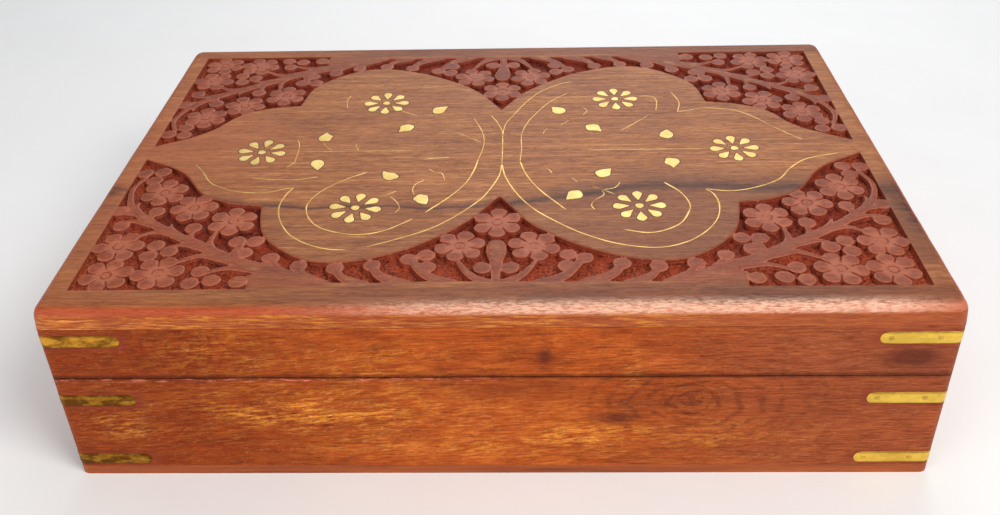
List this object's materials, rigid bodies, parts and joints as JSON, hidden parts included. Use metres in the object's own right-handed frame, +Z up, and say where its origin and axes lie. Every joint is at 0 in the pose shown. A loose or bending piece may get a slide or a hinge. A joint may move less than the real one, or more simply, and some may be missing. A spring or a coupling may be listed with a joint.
{
  "type": "jewelry box",
  "caption": "Low rectangular wooden box with a hinged lid, carved floral relief, inlaid brass flowers and wire, brass corner straps, and a lined interior with dividers.",
  "frame": {"origin": "centre of the flat underside", "axes": "+Z up, +X to the right seen from the front, -Y to the front, where the lid opens"},
  "size_m": [0.3056, 0.2036, 0.076],
  "materials": {
    "case_wood": "satin",
    "carved_wood": "satin",
    "panel_wood": "matte",
    "divider_wood": "matte",
    "velvet": "velvet",
    "strap_brass": "worn",
    "nail_brass": "worn",
    "inlay_brass": "worn",
    "hinge_brass": "satin",
    "screw_steel": "satin"
  },
  "bodies": {
    "base": {"base_front_board": "case_wood", "base_back_board": "case_wood", "base_left_board": "case_wood", "base_right_board": "case_wood", "bottom_panel": "panel_wood", "bottom_panel_nails": "screw_steel", "base_strap_nails": "nail_brass", "base_hinge_screws": "screw_steel", "hinge_base_leaf_left": "hinge_brass", "hinge_base_leaf_right": "hinge_brass", "hinge_pin_left": "hinge_brass", "hinge_pin_right": "hinge_brass", "floor_lining": "velvet", "front_wall_lining": "velvet", "back_wall_lining": "velvet", "left_wall_lining": "velvet", "right_wall_lining": "velvet", "long_divider": "divider_wood", "cross_divider_left": "divider_wood", "cross_divider_right": "divider_wood", "strap_bottom_front_left": "strap_brass", "strap_bottom_front_right": "strap_brass", "strap_bottom_back_left": "strap_brass", "strap_bottom_back_right": "strap_brass", "strap_middle_front_left": "strap_brass", "strap_middle_front_right": "strap_brass", "strap_middle_back_left": "strap_brass", "strap_middle_back_right": "strap_brass"},
    "lid": {"lid_front_board": "case_wood", "lid_back_board": "case_wood", "lid_left_board": "case_wood", "lid_right_board": "case_wood", "lid_top_panel": "carved_wood", "brass_flower_inlays": "inlay_brass", "brass_leaf_inlays": "inlay_brass", "brass_wire_inlays": "inlay_brass", "lid_strap_nails": "nail_brass", "lid_hinge_screws": "screw_steel", "lid_lining": "velvet", "hinge_lid_leaf_left": "hinge_brass", "hinge_lid_leaf_right": "hinge_brass", "strap_lid_front_left": "strap_brass", "strap_lid_front_right": "strap_brass", "strap_lid_back_left": "strap_brass", "strap_lid_back_right": "strap_brass"}
  },
  "joints": [
    {"name": "lid_hinge", "type": "hinge", "parent": "base", "child": "lid", "pos_m": [0, 0.0989, 0.0462], "axis": [-1, 0, 0], "range_deg": [0, 100]}
  ]
}
